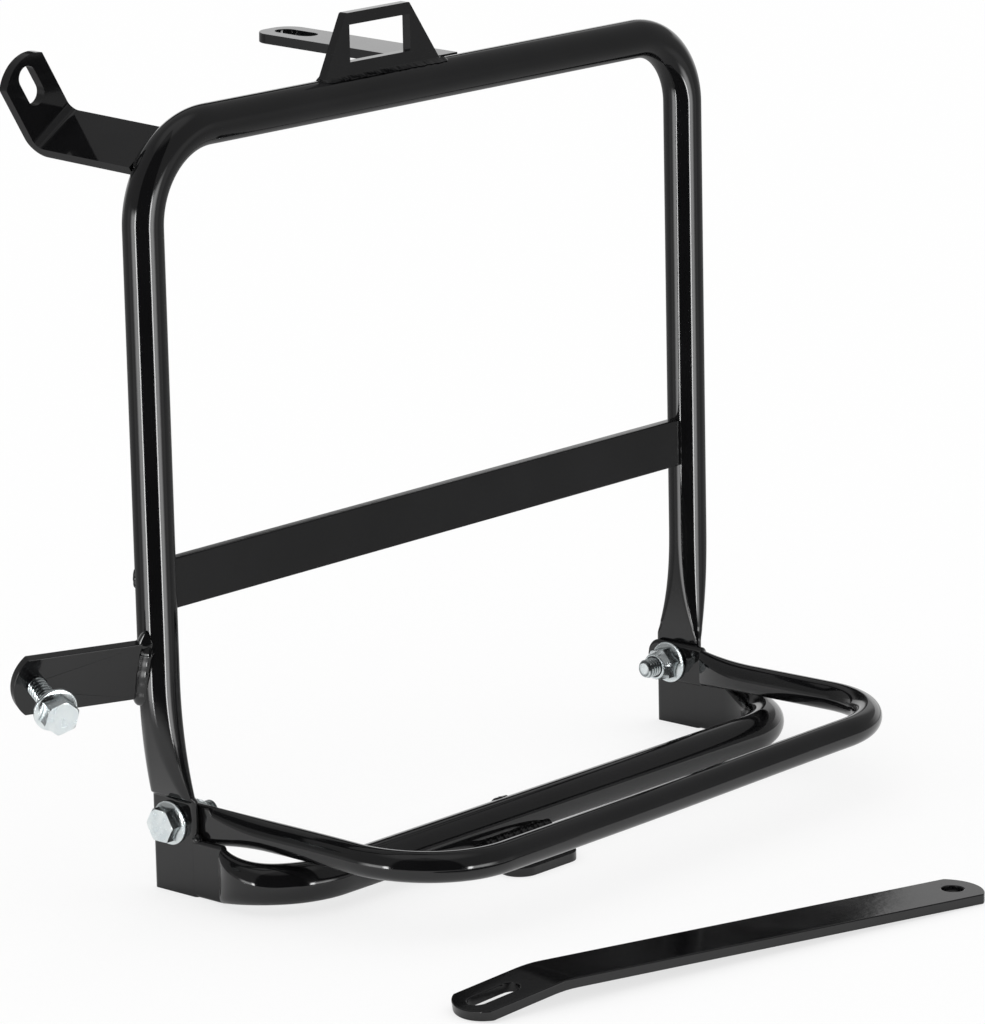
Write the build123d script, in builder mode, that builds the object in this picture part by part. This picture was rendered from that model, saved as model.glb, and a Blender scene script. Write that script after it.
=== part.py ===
from build123d import *
import os
from math import atan2, cos, degrees, pi, radians, sin, sqrt, tan

os.makedirs("parts", exist_ok=True)

# Pannier frame, in mm. X runs along the frame, -Y outward to the bag, +Z up, floor at Z = 0.
# The pieces are drawn about the middle of the two legs, and set down about the middle of the whole.
row_x = 27.89
row_y = 78.94

# Tube stock: the frame tube and the thinner tube of the folding bow.
tube_od = 16.0
tube_wall = 1.5
fold_od = 12.0
fold_wall = 1.5

# Upright bow: distance between the leg axes, height of the top axis, radius of each corner.
leg_span = 316.0
top_z = 299.5
left_bend_r = 35.5
right_bend_r = 30.5

# Pressed leg ends: where the press line lies and where the tube is round again.
leg_press_z = 38.0
leg_round_z = 84.0
press_ramp = 2.4
press_shoulder = 6.5

# Base bow: front axis, press line of its flat ends, angle of bend that is still out of round.
base_front_y = -60.3
base_press_y = -25.3
base_round_angle = 46.0

# Folding bow: pivot, front axis, corner radius, angle at which it rests, pressed ears.
pivot_y = 1.5
pivot_z = 28.2
fold_front_y = -129.5
fold_bend_r = 40.0
fold_rise = 0.7
ear_back_y = 13.3
ear_corner_r = 5.0
ear_press_y = -15.7
ear_round_y = -46.0
ear_play = 0.3

# Cross strip between the legs.
strip_top_z = 134.2
strip_height = 20.0
strip_thick = 5.0

# Bag hook on the top tube: height above it, sideways set of its head, rails below and above its window.
hook_x = -25.5
hook_foot = 66.0
hook_head = 36.0
hook_height = 25.0
hook_thick = 4.0
hook_head_set = -2.2
hook_window_w = 34.5
hook_sill = 5.5
hook_bar = 4.8

# Flat straps of the brackets, their slots, and the arc that their free ends are cut to.
strap_thick = 4.0
slot_width = 9.0
end_arc_r = 16.0

# Upper centre bracket: reach behind the top tube, rise to the back, slot measured from the free end.
centre_x = 12.5
centre_width = 22.5
centre_reach = 90.0
centre_pitch = 1.6
centre_front = 3.5
centre_end_r = 9.0
centre_slot_edge = 15.5
centre_slot_length = 21.0

# Upper side bracket: tilt of the strap, rise to the back, place on the corner, reach to its tongue.
side_tilt = 33.2
side_pitch = 3.66
side_width = 23.0
side_shift = -6.2
side_lift = 1.7
side_reach = 46.6
side_tongue_h = 36.0
side_bend_r = 4.0
side_slot_edge = 12.0
side_slot_length = 17.5

# Lower side bracket: height, heading, lean, reach out of the leg, hole measured from the free end.
low_z = 92.4
low_heading = 22.0
low_lean = 14.5
low_width = 24.0
low_reach = 52.6
low_hole_edge = 9.6

# Base tab under the front of the base bow: skew, reach before the tube's axis and behind it, slot.
tab_x = -21.9
tab_skew = 31.6
tab_width = 40.0
tab_reach = 35.5
tab_tuck = 8.8
tab_thick = 3.5
tab_corner_r = 8.0
tab_slot_at = 15.2
tab_slot_length = 30.0

# Support strut, lying on the floor in front.
strut_width = 25.0
strut_thick = 4.0
strut_main = 202.0
strut_foot = 39.2
strut_bend = 10.5
strut_bend_r = 60.0
strut_slot_at = 15.6
strut_slot_length = 22.0
strut_hole_at = 11.4
strut_hole_d = 8.6
strut_tip = (-195.6, -189.0)
strut_heading = -13.5

# Hexagon flange bolts and nuts, 8 mm thread.
thread_d = 8.0
thread_play = 0.05
plate_play = 0.2
hex_flats = 12.0
flange_d = 17.4
flange_rim = 1.2
flange_rise = 1.3
pivot_head = 6.4
bracket_head = 8.0
nut_height = 8.0
collar_d = 11.6
collar_height = 2.4
collar_wall = 0.9
ring_height = 1.5
hex_land = 0.3
thread_chamfer = 1.3
pivot_bolt_length = 23.2
bracket_bolt_length = 26.0
bracket_bolt_out = 18.4

# Weld beads and the hairline left between welded pieces.
bead_r = 2.4
thin_bead_r = 1.4
corner_bead_r = 1.7
tab_bead_r = 3.5
bead_lift = 0.7
joint_play = 0.03

row_place = Location((row_x, row_y, 0))
leg_x = leg_span / 2
tube_r = tube_od / 2
fold_r = fold_od / 2
press_thick = 2 * tube_wall
ear_thick = 2 * fold_wall
flat_width = press_thick + pi * (tube_od - press_thick) / 2
ear_width = ear_thick + pi * (fold_od - ear_thick) / 2
base_z = flat_width / 2
plate_inner_x = leg_x - tube_r
plate_mid_x = plate_inner_x + press_thick / 2
plate_outer_x = plate_inner_x + press_thick
fold_arm_x = plate_inner_x - ear_play - fold_r
ear_mid_x = plate_inner_x - ear_play - ear_thick / 2
ear_inner_x = ear_mid_x - ear_thick / 2
base_bend_r = base_press_y - base_front_y
base_bend_x = leg_x - base_bend_r


def pressed_width(od, thick):
    """Width of a round tube of that diameter pressed to that thickness, its girth unchanged."""
    return thick + pi * (od - thick) / 2


def obround(plane, width, thick):
    """Long round-ended section, its width along the plane's x direction."""
    with BuildSketch(plane) as section:
        SlotOverall(width, thick)
    return section.sketch


def disc(plane, radius):
    """Round section."""
    with BuildSketch(plane) as section:
        Circle(radius)
    return section.sketch


def shoulder_steps(od, shoulder):
    """Thickness of the tube at even steps from round down to the shoulder above the press line."""
    return [(step / 4, od - (od - shoulder) * (step / 4) ** 1.4) for step in range(1, 5)]


def leg_plane(z, thick):
    """Section plane of the right leg, moved inward so that the inner side stays straight."""
    return Plane((leg_x - (tube_od - thick) / 2, 0, z), x_dir=(0, 1, 0), z_dir=(0, 0, 1))


def base_plane(angle, thick):
    """Section plane across the right bend of the base bow, its inner side kept on the bend."""
    reach = base_bend_r - (tube_od - thick) / 2
    heading = Vector(cos(radians(angle)), -sin(radians(angle)), 0)
    across = Vector(-sin(radians(angle)), -cos(radians(angle)), 0)
    return Plane(Vector(base_bend_x, base_press_y, base_z) + heading * reach, x_dir=(0, 0, 1), z_dir=across)


def ear_plane(y, thick):
    """Section plane of the folding bow's right arm, moved outward so that the outer side stays straight."""
    return Plane((fold_arm_x + (fold_od - thick) / 2, y, pivot_z), x_dir=(0, 0, 1), z_dir=(0, 1, 0))


leg_drop = leg_round_z - leg_press_z - press_ramp
leg_outer = [disc(leg_plane(leg_round_z, tube_od), tube_r)]
leg_inner = [disc(leg_plane(leg_round_z, tube_od), tube_r - tube_wall)]
for share, thick in shoulder_steps(tube_od, press_shoulder):
    section_plane = leg_plane(leg_round_z - leg_drop * share, thick)
    section_width = pressed_width(tube_od, thick)
    leg_outer.append(obround(section_plane, section_width, thick))
    leg_inner.append(obround(section_plane, section_width - 2 * tube_wall, thick - 2 * tube_wall))
leg_flat = obround(leg_plane(leg_press_z, press_thick), flat_width, press_thick)

# Upright bow: pressed end of the right leg, the left one alike, then the round tube between them.
with BuildPart() as upright_bow:
    loft(sections=leg_outer)
    loft(sections=[leg_outer[-1], leg_flat], ruled=True)
    extrude(leg_flat, amount=-leg_press_z)
    loft(sections=leg_inner, mode=Mode.SUBTRACT)
    with Locations(Location((plate_mid_x, pivot_y, pivot_z), (0, 90, 0))):
        Cylinder(thread_d / 2 + plate_play, 2 * press_thick, mode=Mode.SUBTRACT)
    mirror(about=Plane.YZ)
    with BuildLine(Plane.XZ) as upright_path:
        Line((-leg_x, leg_round_z), (-leg_x, top_z - left_bend_r))
        CenterArc((left_bend_r - leg_x, top_z - left_bend_r), left_bend_r, 180, -90)
        Line((left_bend_r - leg_x, top_z), (leg_x - right_bend_r, top_z))
        CenterArc((leg_x - right_bend_r, top_z - right_bend_r), right_bend_r, 90, -90)
        Line((leg_x, top_z - right_bend_r), (leg_x, leg_round_z))
    with BuildSketch(Plane((-leg_x, 0, leg_round_z))):
        Circle(tube_r)
        Circle(tube_r - tube_wall, mode=Mode.SUBTRACT)
    sweep(path=upright_path.wire())

upright_bow.part.label = "upright_bow"

upright_bow.part.location = row_place
export_step(upright_bow.part, "parts/upright_bow.step")

ramp_angle = degrees(press_ramp / base_bend_r)
base_sweep = base_round_angle - ramp_angle
base_outer = [disc(base_plane(base_round_angle, tube_od), tube_r)]
base_inner = [disc(base_plane(base_round_angle, tube_od), tube_r - tube_wall)]
for share, thick in shoulder_steps(tube_od, press_shoulder):
    section_plane = base_plane(base_round_angle - base_sweep * share, thick)
    section_width = pressed_width(tube_od, thick)
    base_outer.append(obround(section_plane, section_width, thick))
    base_inner.append(obround(section_plane, section_width - 2 * tube_wall, thick - 2 * tube_wall))
base_flat = obround(base_plane(0, press_thick), flat_width, press_thick)
leg_edge_y = -flat_width / 2 + press_thick / 2

# Base bow: half of the front tube, bend with its pressed end butted to the leg's flat, then the other half.
with BuildPart() as base_bow:
    with BuildLine(Plane.XY.offset(base_z)) as base_path:
        Line((0, base_front_y), (base_bend_x, base_front_y))
        CenterArc((base_bend_x, base_press_y), base_bend_r, 270, 90 - base_round_angle)
    with BuildSketch(Plane((0, base_front_y, base_z), z_dir=(1, 0, 0))):
        Circle(tube_r)
        Circle(tube_r - tube_wall, mode=Mode.SUBTRACT)
    sweep(path=base_path.wire())
    loft(sections=base_outer)
    loft(sections=[base_outer[-1], base_flat], ruled=True)
    extrude(base_flat, amount=base_press_y - leg_edge_y)
    loft(sections=base_inner, mode=Mode.SUBTRACT)
    with Locations((plate_mid_x, leg_edge_y, base_z)):
        Cylinder(press_thick / 2 + joint_play, 2 * flat_width, mode=Mode.SUBTRACT)
    mirror(about=Plane.YZ)

base_bow.part.label = "base_bow"

base_bow.part.location = row_place
export_step(base_bow.part, "parts/base_bow.step")

ear_run = ear_press_y - press_ramp - ear_round_y
ear_outer = [disc(ear_plane(ear_round_y, fold_od), fold_r)]
ear_inner = [disc(ear_plane(ear_round_y, fold_od), fold_r - fold_wall)]
for share, thick in shoulder_steps(fold_od, press_shoulder):
    section_plane = ear_plane(ear_round_y + ear_run * share, thick)
    section_width = pressed_width(fold_od, thick)
    ear_outer.append(obround(section_plane, section_width, thick))
    ear_inner.append(obround(section_plane, section_width - 2 * fold_wall, thick - 2 * fold_wall))
ear_flat = obround(ear_plane(ear_press_y, ear_thick), ear_width, ear_thick)

# Folding bow: half of the thinner tube with its pressed ear and pivot hole, then the other half.
with BuildPart() as folding_bow:
    with BuildLine() as fold_path:
        FilletPolyline(
            (0, fold_front_y, pivot_z),
            (fold_arm_x, fold_front_y, pivot_z),
            (fold_arm_x, ear_round_y, pivot_z),
            radius=fold_bend_r,
        )
    with BuildSketch(Plane((0, fold_front_y, pivot_z), z_dir=(1, 0, 0))):
        Circle(fold_r)
        Circle(fold_r - fold_wall, mode=Mode.SUBTRACT)
    sweep(path=fold_path.wire())
    loft(sections=ear_outer)
    loft(sections=[ear_outer[-1], ear_flat], ruled=True)
    extrude(ear_flat, amount=ear_back_y - ear_press_y)
    loft(sections=ear_inner, mode=Mode.SUBTRACT)
    with BuildSketch(Plane((ear_mid_x, ear_back_y, pivot_z), x_dir=(0, 1, 0), z_dir=(1, 0, 0))):
        Rectangle(2 * ear_corner_r, 2 * ear_width)
        with Locations((-ear_width, 0)):
            RectangleRounded(2 * ear_width, ear_width + joint_play, ear_corner_r, mode=Mode.SUBTRACT)
    extrude(amount=ear_thick, both=True, mode=Mode.SUBTRACT)
    with Locations(Location((ear_mid_x, pivot_y, pivot_z), (0, 90, 0))):
        Cylinder(thread_d / 2 + thread_play, 2 * ear_thick, mode=Mode.SUBTRACT)
    mirror(about=Plane.YZ)

folding_bow.part.label = "folding_bow"

to_pivot = Location((0, pivot_y, pivot_z), (-fold_rise, 0, 0)) * Location((0, -pivot_y, -pivot_z))
folding_bow.part.location = row_place * to_pivot
export_step(folding_bow.part, "parts/folding_bow.step")

# Cross strip: flat bar cut to length between the legs.
strip_z = strip_top_z - strip_height / 2
with BuildPart() as cross_strip:
    with Locations((0, 0, strip_z)):
        Box(2 * (plate_inner_x - joint_play), strip_thick, strip_height)
    chamfer(cross_strip.edges().filter_by(Axis.X), 0.4)

cross_strip.part.label = "cross_strip"

cross_strip.part.location = row_place
export_step(cross_strip.part, "parts/cross_strip.step")

# Bag hook: plate with slanting sides and a window, its foot cut to sit on the top tube.
hook_foot_z = top_z + tube_r
with BuildPart() as bag_hook:
    with BuildSketch(Plane((hook_x, 0, hook_foot_z), x_dir=(1, 0, 0), z_dir=(0, -1, 0))):
        with BuildLine():
            Polyline(
                (-hook_foot / 2, -0.6),
                (hook_foot / 2, -0.6),
                (hook_foot / 2, 0),
                (hook_head / 2 + hook_head_set, hook_height),
                (-hook_head / 2 + hook_head_set, hook_height),
                (-hook_foot / 2, 0),
                close=True,
            )
        make_face()
        with Locations((hook_head_set * 0.65, (hook_sill + hook_height - hook_bar) / 2)):
            Rectangle(hook_window_w, hook_height - hook_bar - hook_sill, mode=Mode.SUBTRACT)
    extrude(amount=hook_thick / 2, both=True)
    fillet(bag_hook.edges().filter_by(Axis.Y).group_by(Axis.Z)[-1], 1.2)
    with Locations(Location((hook_x, 0, top_z), (0, 90, 0))):
        Cylinder(tube_r + joint_play, 2 * hook_foot, mode=Mode.SUBTRACT)

bag_hook.part.label = "bag_hook"

bag_hook.part.location = row_place
export_step(bag_hook.part, "parts/bag_hook.step")

# Upper centre bracket: strap rising slightly behind the top tube, rounded free end, long slot.
centre_end = tube_r + centre_reach
centre_lean = (0, -sin(radians(centre_pitch)), cos(radians(centre_pitch)))
centre_plane = Plane((centre_x, 0, top_z + tube_r), x_dir=(1, 0, 0), z_dir=centre_lean)
with BuildPart() as upper_centre_bracket:
    with BuildSketch(centre_plane) as centre_outline:
        with Locations((0, (centre_front + centre_end) / 2)):
            Rectangle(centre_width, centre_end - centre_front)
        fillet(centre_outline.vertices().group_by(Axis.Y)[-1], centre_end_r)
        with Locations((0, centre_end - centre_slot_edge)):
            SlotOverall(centre_slot_length, slot_width, rotation=90, mode=Mode.SUBTRACT)
    extrude(amount=-strap_thick)
    with Locations(Location((centre_x, 0, top_z), (0, 90, 0))):
        Cylinder(tube_r + joint_play, 3 * centre_width, mode=Mode.SUBTRACT)

upper_centre_bracket.part.label = "upper_centre_bracket"

upper_centre_bracket.part.location = row_place
export_step(upper_centre_bracket.part, "parts/upper_centre_bracket.step")

# Upper side bracket: strap behind the left corner, bent up into an arc-ended tongue with a slot.
side_out = Vector(-sin(radians(side_tilt)), 0, cos(radians(side_tilt)))
side_across = Vector(cos(radians(side_tilt)), 0, sin(radians(side_tilt)))
side_along = Vector(0, cos(radians(side_pitch)), 0) + side_out * sin(radians(side_pitch))
corner_centre = Vector(left_bend_r - leg_x, 0, top_z - left_bend_r)
side_origin = corner_centre + side_out * (left_bend_r + side_lift) + side_across * side_shift
side_mid = tube_r + side_reach + strap_thick / 2
side_plane = Plane(side_origin, x_dir=side_along, z_dir=side_across)
tongue_plane = Plane(side_origin + side_along * side_mid, x_dir=side_across, z_dir=side_along * -1)
with BuildPart() as upper_side_bracket:
    with BuildSketch(side_plane):
        with BuildLine():
            FilletPolyline(
                (tube_r * 0.7, 0),
                (side_mid, 0),
                (side_mid, side_tongue_h),
                radius=side_bend_r + strap_thick / 2,
            )
        trace(line_width=strap_thick)
    extrude(amount=side_width / 2, both=True)
    with Locations(Location(corner_centre, (90, 0, 0))):
        Torus(left_bend_r, tube_r + joint_play, mode=Mode.SUBTRACT)
    with BuildSketch(tongue_plane):
        with Locations((0, side_tongue_h)):
            Rectangle(2 * side_width, 2 * end_arc_r)
        with Locations((0, side_tongue_h - end_arc_r)):
            Circle(end_arc_r, mode=Mode.SUBTRACT)
        with Locations((0, side_tongue_h - side_slot_edge)):
            SlotOverall(side_slot_length, slot_width, rotation=90)
    extrude(amount=strap_thick, both=True, mode=Mode.SUBTRACT)

upper_side_bracket.part.label = "upper_side_bracket"

upper_side_bracket.part.location = row_place
export_step(upper_side_bracket.part, "parts/upper_side_bracket.step")

# Lower side bracket: leaning strap on the left leg, arc end, threaded hole for its bolt.
low_along = Vector(-cos(radians(low_heading)), sin(radians(low_heading)), 0)
low_front = Vector(-sin(radians(low_heading)), -cos(radians(low_heading)), 0)
low_normal = low_front * cos(radians(low_lean)) - Vector(0, 0, sin(radians(low_lean)))
low_origin = Vector(-leg_x, 0, low_z)
low_end = tube_r + low_reach
low_hole_at = low_end - low_hole_edge
low_hole = low_origin + low_along * low_hole_at
with BuildPart() as lower_side_bracket:
    with BuildSketch(Plane(low_origin, x_dir=low_along, z_dir=low_normal)):
        with Locations((low_end / 2, 0)):
            Rectangle(low_end, low_width)
        with Locations((low_end - end_arc_r, 0)):
            Circle(end_arc_r, mode=Mode.INTERSECT)
        with Locations(((low_end - end_arc_r) / 2, 0)):
            Rectangle(low_end - end_arc_r, low_width)
        with Locations((low_hole_at, 0)):
            Circle(thread_d / 2 + thread_play, mode=Mode.SUBTRACT)
    extrude(amount=strap_thick / 2, both=True)
    with Locations((-leg_x, 0, low_z)):
        Cylinder(tube_r + joint_play, 4 * low_width, mode=Mode.SUBTRACT)

lower_side_bracket.part.label = "lower_side_bracket"

lower_side_bracket.part.location = row_place
export_step(lower_side_bracket.part, "parts/lower_side_bracket.step")

# Base tab: skewed plate under the front of the base bow, rounded front corners, slot along the frame.
tab_top_z = base_z - tube_r - joint_play
tab_slant = tan(radians(tab_skew))
tab_front_x = -tab_reach * tab_slant
tab_back_x = tab_tuck * tab_slant
with BuildPart() as base_tab:
    with BuildSketch(Plane((tab_x, base_front_y, tab_top_z))) as tab_outline:
        with BuildLine():
            Polyline(
                (tab_back_x - tab_width / 2, tab_tuck),
                (tab_back_x + tab_width / 2, tab_tuck),
                (tab_front_x + tab_width / 2, -tab_reach),
                (tab_front_x - tab_width / 2, -tab_reach),
                close=True,
            )
        make_face()
        fillet(tab_outline.vertices().group_by(Axis.Y)[0], tab_corner_r)
        with Locations((-tab_slot_at * tab_slant, -tab_slot_at)):
            SlotOverall(tab_slot_length, slot_width, mode=Mode.SUBTRACT)
    extrude(amount=-tab_thick)

base_tab.part.label = "base_tab"

base_tab.part.location = row_place
export_step(base_tab.part, "parts/base_tab.step")

# Support strut: flat bar with a slotted, slightly bent foot and a round hole at the other end.
bend_sin = sin(radians(strut_bend))
bend_cos = cos(radians(strut_bend))
foot_rise = degrees(atan2(strut_main * bend_sin, strut_foot + strut_main * bend_cos))
main_fall = strut_bend - foot_rise
strut_along = Vector(cos(radians(strut_heading)), sin(radians(strut_heading)), 0)
strut_side = Vector(sin(radians(strut_heading)), -cos(radians(strut_heading)), 0)
knee = (strut_foot * cos(radians(foot_rise)), strut_foot * sin(radians(foot_rise)) + strut_thick / 2)
strut_run = knee[0] + strut_main * cos(radians(main_fall))
strut_origin = Vector(strut_tip[0], strut_tip[1], 0)


def strut_plane(along, height, slope):
    """Plane on the strut's middle surface at that place, x along the bar."""
    lift = Vector(0, 0, 1)
    run = strut_along * cos(radians(slope)) + lift * sin(radians(slope))
    place = strut_origin + strut_along * along + lift * height
    return Plane(place, x_dir=run, z_dir=strut_side.cross(run) * -1)


with BuildPart() as support_strut:
    with BuildSketch(Plane(strut_origin, x_dir=strut_along, z_dir=strut_side)):
        with BuildLine():
            FilletPolyline((0, strut_thick / 2), knee, (strut_run, strut_thick / 2), radius=strut_bend_r)
        trace(line_width=strut_thick)
    extrude(amount=strut_width / 2, both=True)
    with BuildSketch(strut_plane(0, strut_thick / 2, foot_rise)):
        Rectangle(2 * end_arc_r, 2 * strut_width)
        with Locations((end_arc_r, 0)):
            Circle(end_arc_r, mode=Mode.SUBTRACT)
        with Locations((strut_slot_at, 0)):
            SlotOverall(strut_slot_length, slot_width)
    extrude(amount=strut_thick, both=True, mode=Mode.SUBTRACT)
    with BuildSketch(strut_plane(strut_run, strut_thick / 2, -main_fall)):
        Rectangle(2 * end_arc_r, 2 * strut_width)
        with Locations((-end_arc_r, 0)):
            Circle(end_arc_r, mode=Mode.SUBTRACT)
        with Locations((-strut_hole_at, 0)):
            Circle(strut_hole_d / 2)
    extrude(amount=strut_thick, both=True, mode=Mode.SUBTRACT)

support_strut.part.label = "support_strut"

support_strut.part.location = row_place
export_step(support_strut.part, "parts/support_strut.step")


def hexagon_flange(height, top_land):
    """Hexagon on a coned flange, standing on Z = 0, its upper corners turned off."""
    hex_corner_r = hex_flats / 2 / cos(pi / 6)
    with BuildPart() as body:
        Cylinder(flange_d / 2, flange_rim, align=(Align.CENTER, Align.CENTER, Align.MIN))
        with Locations((0, 0, flange_rim)):
            Cone(flange_d / 2, hex_flats / 2, flange_rise, align=(Align.CENTER, Align.CENTER, Align.MIN))
        with BuildSketch(Plane.XY.offset(flange_rim)):
            RegularPolygon(hex_corner_r, 6)
        extrude(amount=height - flange_rim)
        with BuildSketch(Plane.XZ):
            with BuildLine():
                Polyline(
                    (top_land, height),
                    (flange_d, height),
                    (flange_d, height - (flange_d - top_land) * 0.5),
                    close=True,
                )
            make_face()
        revolve(axis=Axis.Z, mode=Mode.SUBTRACT)
    return body.part


def flange_bolt(length, head):
    """Flange bolt with its head above Z = 0 and its chamfered shank below."""
    with BuildPart() as body:
        add(hexagon_flange(head, hex_flats / 2 - hex_land))
        Cylinder(thread_d / 2, length, align=(Align.CENTER, Align.CENTER, Align.MAX))
        chamfer(body.edges().filter_by(GeomType.CIRCLE).group_by(Axis.Z)[0], thread_chamfer)
    return body.part


def flange_nut():
    """Flange nut standing on Z = 0, its collar recessed for the locking ring."""
    with BuildPart() as body:
        add(hexagon_flange(nut_height - collar_height / 2, hex_flats / 2 - hex_land))
        with Locations((0, 0, nut_height - collar_height)):
            Cylinder(collar_d / 2, 2 * collar_height, align=(Align.CENTER, Align.CENTER, Align.MIN))
        fillet(body.edges().filter_by(GeomType.CIRCLE).group_by(Axis.Z)[-1], collar_wall - joint_play)
        Cylinder(thread_d / 2 + thread_play, 4 * nut_height, mode=Mode.SUBTRACT)
        with Locations((0, 0, nut_height + collar_height)):
            Cylinder(collar_d / 2 - collar_wall, 2 * (ring_height + ear_play), mode=Mode.SUBTRACT)
    return body.part


def locking_ring():
    """Plastic ring in the nut's collar."""
    with BuildPart() as body:
        with Locations((0, 0, nut_height + collar_height - ear_play)):
            Cylinder(
                collar_d / 2 - collar_wall - joint_play,
                ring_height,
                align=(Align.CENTER, Align.CENTER, Align.MAX),
            )
        Cylinder(thread_d / 2 + thread_play, 6 * nut_height, mode=Mode.SUBTRACT)
    return body.part


pivot_bolt = flange_bolt(pivot_bolt_length, pivot_head)
pivot_nut = flange_nut()
nut_ring = locking_ring()
nut_face_x = ear_inner_x - ear_play / 2
for side, hand in ((-1, "left"), (1, "right")):
    head_plane = Plane((side * plate_outer_x, pivot_y, pivot_z), x_dir=(0, 0, 1), z_dir=(side, 0, 0))
    nut_plane = Plane((side * nut_face_x, pivot_y, pivot_z), x_dir=(0, 0.3, 1), z_dir=(-side, 0, 0))
    for stem, solid, plane in (
        ("pivot_bolt", pivot_bolt, head_plane),
        ("pivot_nut", pivot_nut, nut_plane),
        ("nut_ring", nut_ring, nut_plane),
    ):
        with BuildPart() as fastener:
            with Locations(plane.location):
                add(solid)
        fastener.part.label = f"{stem}_{hand}"
        fastener.part.location = row_place
        export_step(fastener.part, f"parts/{stem}_{hand}.step")

# Loose bolt turned a few threads into the lower side bracket.
bracket_seat = low_hole + low_normal * (strap_thick / 2 + bracket_bolt_out)
with BuildPart() as bracket_bolt:
    with Locations(Plane(bracket_seat, x_dir=low_along, z_dir=low_normal).location):
        add(flange_bolt(bracket_bolt_length, bracket_head))

bracket_bolt.part.label = "bracket_bolt"

bracket_bolt.part.location = row_place
export_step(bracket_bolt.part, "parts/bracket_bolt.step")


def bead(length, radius):
    """Weld bead along Z with rounded ends."""
    with BuildPart() as body:
        Cylinder(radius, length - 2 * radius)
        with Locations((0, 0, length / 2 - radius), (0, 0, radius - length / 2)):
            Sphere(radius)
    return body.part


# Welds of the cross strip: one bead down each side of both ends.
with BuildPart() as strip_welds:
    for side in (-1, 1):
        for face in (-1, 1):
            strip_bead_y = face * (strip_thick / 2 + bead_lift)
            with Locations((side * (plate_inner_x - bead_lift), strip_bead_y, strip_z)):
                add(bead(strip_height - thin_bead_r, bead_r))
        with Locations((side * leg_x, 0, strip_z)):
            Cylinder(tube_r + joint_play, 2 * strip_height, mode=Mode.SUBTRACT)
    with Locations((0, 0, strip_z)):
        Box(leg_span, strip_thick + joint_play, strip_height + joint_play, mode=Mode.SUBTRACT)

strip_welds.part.label = "strip_welds"

strip_welds.part.location = row_place
export_step(strip_welds.part, "parts/strip_welds.step")

# Welds of the hook: a thin bead along the front of its foot and a shorter one behind.
hook_bead_y = hook_thick / 2 + bead_lift / 2
hook_bead_z = top_z + sqrt(tube_r ** 2 - hook_bead_y ** 2)
hook_back_run = centre_x - centre_width / 2 - (hook_x - hook_foot / 2) - thin_bead_r
hook_back_x = hook_x - hook_foot / 2 + (thin_bead_r + hook_back_run) / 2
with BuildPart() as hook_welds:
    with Locations(Location((hook_x, -hook_bead_y, hook_bead_z), (0, 90, 0))):
        add(bead(hook_foot - thin_bead_r, thin_bead_r))
    with Locations(Location((hook_back_x, hook_bead_y, hook_bead_z), (0, 90, 0))):
        add(bead(hook_back_run, thin_bead_r))
    with Locations(Location((hook_x, 0, top_z), (0, 90, 0))):
        Cylinder(tube_r + joint_play, 3 * hook_foot, mode=Mode.SUBTRACT)
    with Locations((hook_x, 0, hook_foot_z)):
        Box(3 * hook_foot, hook_thick + joint_play, 4 * bead_r, mode=Mode.SUBTRACT)

hook_welds.part.label = "hook_welds"

hook_welds.part.location = row_place
export_step(hook_welds.part, "parts/hook_welds.step")

# Weld of the upper centre bracket, along its underside behind the tube.
centre_low_z = top_z + tube_r - strap_thick
centre_bead_y = sqrt(tube_r ** 2 - (centre_low_z - top_z) ** 2) + bead_lift
with BuildPart() as centre_bracket_weld:
    with Locations(Location((centre_x, centre_bead_y, centre_low_z - bead_lift), (0, 90, 0))):
        add(bead(centre_width, bead_r))
    with Locations(Location((centre_x, 0, top_z), (0, 90, 0))):
        Cylinder(tube_r + joint_play, 3 * centre_width, mode=Mode.SUBTRACT)
    with Locations(centre_plane.location):
        Box(
            2 * centre_width,
            2 * centre_end,
            strap_thick + joint_play,
            align=(Align.CENTER, Align.CENTER, Align.MAX),
            mode=Mode.SUBTRACT,
        )

centre_bracket_weld.part.label = "centre_bracket_weld"

centre_bracket_weld.part.location = row_place
export_step(centre_bracket_weld.part, "parts/centre_bracket_weld.step")

# Welds of the upper side bracket, across both faces where it meets the bent corner.
with BuildPart() as side_bracket_welds:
    for face in (-1, 1):
        side_rise = face * (strap_thick + thin_bead_r) / 2
        side_back = sqrt(tube_r ** 2 - (side_rise + side_lift) ** 2) + thin_bead_r / 2
        with Locations(side_plane.location * Location((side_back, side_rise, -side_shift / 2))):
            add(bead(side_width + side_shift - thin_bead_r, thin_bead_r))
    with Locations(Location(corner_centre, (90, 0, 0))):
        Torus(left_bend_r, tube_r + joint_play, mode=Mode.SUBTRACT)
    with Locations(side_plane.location):
        Box(4 * tube_r, strap_thick + joint_play, 2 * side_width, mode=Mode.SUBTRACT)

side_bracket_welds.part.label = "side_bracket_welds"

side_bracket_welds.part.location = row_place
export_step(side_bracket_welds.part, "parts/side_bracket_welds.step")

# Welds of the lower side bracket, up both faces where it meets the leg.
with BuildPart() as low_bracket_welds:
    for face in (-1, 1):
        low_bead = low_origin + low_along * tube_r
        low_bead = low_bead + low_normal * face * (strap_thick / 2 + bead_lift)
        with Locations(Plane(low_bead, x_dir=low_along, z_dir=low_normal.cross(low_along)).location):
            add(bead(low_width, bead_r))
    with Locations((-leg_x, 0, low_z)):
        Cylinder(tube_r + joint_play, 4 * low_width, mode=Mode.SUBTRACT)
    with Locations(Plane(low_origin, x_dir=low_along, z_dir=low_normal).location):
        Box(4 * tube_r, 2 * low_width, strap_thick + joint_play, mode=Mode.SUBTRACT)

low_bracket_welds.part.label = "low_bracket_welds"

low_bracket_welds.part.location = row_place
export_step(low_bracket_welds.part, "parts/low_bracket_welds.step")

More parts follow.
